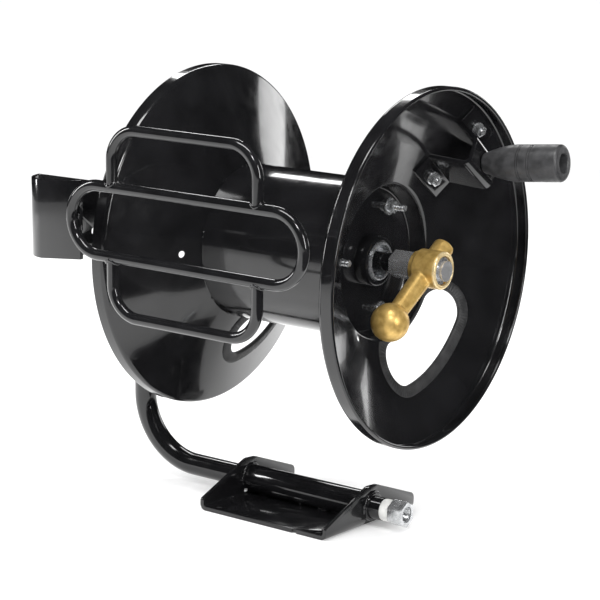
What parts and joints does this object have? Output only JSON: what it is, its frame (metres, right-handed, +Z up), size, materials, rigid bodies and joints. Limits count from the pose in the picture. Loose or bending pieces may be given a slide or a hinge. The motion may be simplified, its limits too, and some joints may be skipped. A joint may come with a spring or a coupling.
{
  "type": "garden hose reel",
  "caption": "Hand-crank steel hose reel on a pivoting bracket, with dished discs, a looped hose guide, a side crank and a swivelling inlet.",
  "frame": {"origin": "centre of the base bolt pattern on the underside of the base plate", "axes": "+X along the reel axis towards the crank, +Y to the back, away from the hose guide, +Z up"},
  "size_m": [0.5662, 0.4602, 0.5175],
  "materials": {
    "black_paint": "gloss",
    "zinc": "satin",
    "steel": "satin",
    "trim_rubber": "matte",
    "grip_rubber": "satin",
    "brass": "satin",
    "white_seal": "matte",
    "bush_bronze": "matte"
  },
  "bodies": {
    "base": {"base_bracket": "black_paint", "pivot_sleeve": "black_paint", "pivot_lock_screw": "zinc"},
    "post": {"support_pipe": "black_paint", "pipe_seal_ring": "white_seal", "pipe_end_bushing": "zinc", "frame_hub_boss": "black_paint", "axle": "steel", "axle_spacer": "black_paint", "axle_washer": "zinc", "axle_nut": "zinc", "axle_retaining_ring": "steel", "guide_arm": "black_paint", "guide_oval_loop": "black_paint", "guide_upper_loop": "black_paint", "guide_lower_loop": "black_paint"},
    "reel": {"left_disc": "black_paint", "right_disc": "black_paint", "drum_tube": "black_paint", "hub_tube": "steel", "left_hub_collar": "black_paint", "right_hub_collar": "black_paint", "left_bush": "bush_bronze", "right_bush": "bush_bronze", "left_window_trim": "trim_rubber", "right_window_trim": "trim_rubber", "tie_rods": "zinc", "tie_rod_washers": "zinc", "tie_rod_nuts": "zinc", "shaft_bulkhead": "steel", "water_shaft": "black_paint", "outlet_riser": "black_paint", "hose_outlet_fitting": "zinc", "crank_bracket": "black_paint", "crank_bolts": "zinc", "crank_nuts": "zinc", "crank_spindle": "zinc", "crank_spindle_nut": "zinc", "swivel_spindle": "steel", "swivel_snap_ring": "zinc"},
    "grip": {"crank_grip": "grip_rubber"},
    "swivel": {"swivel_body": "brass", "swivel_seals": "trim_rubber"}
  },
  "joints": [
    {"name": "post_tilt", "type": "hinge", "parent": "base", "child": "post", "pos_m": [0, 0, 0.02173], "axis": [1, 0, 0], "range_deg": [-43, 37]},
    {"name": "reel_spin", "type": "hinge", "parent": "post", "child": "reel", "pos_m": [0.0065, -0.01533, 0.31433], "axis": [1, 0, 0], "continuous": true},
    {"name": "grip_spin", "type": "hinge", "parent": "reel", "child": "grip", "pos_m": [0.17385, 0.06283, 0.42806], "axis": [0.9931, 0.0663, 0.0965], "continuous": true},
    {"name": "swivel_spin", "type": "hinge", "parent": "reel", "child": "swivel", "pos_m": [0.1605, -0.01533, 0.31433], "axis": [1, 0, 0], "continuous": true}
  ]
}
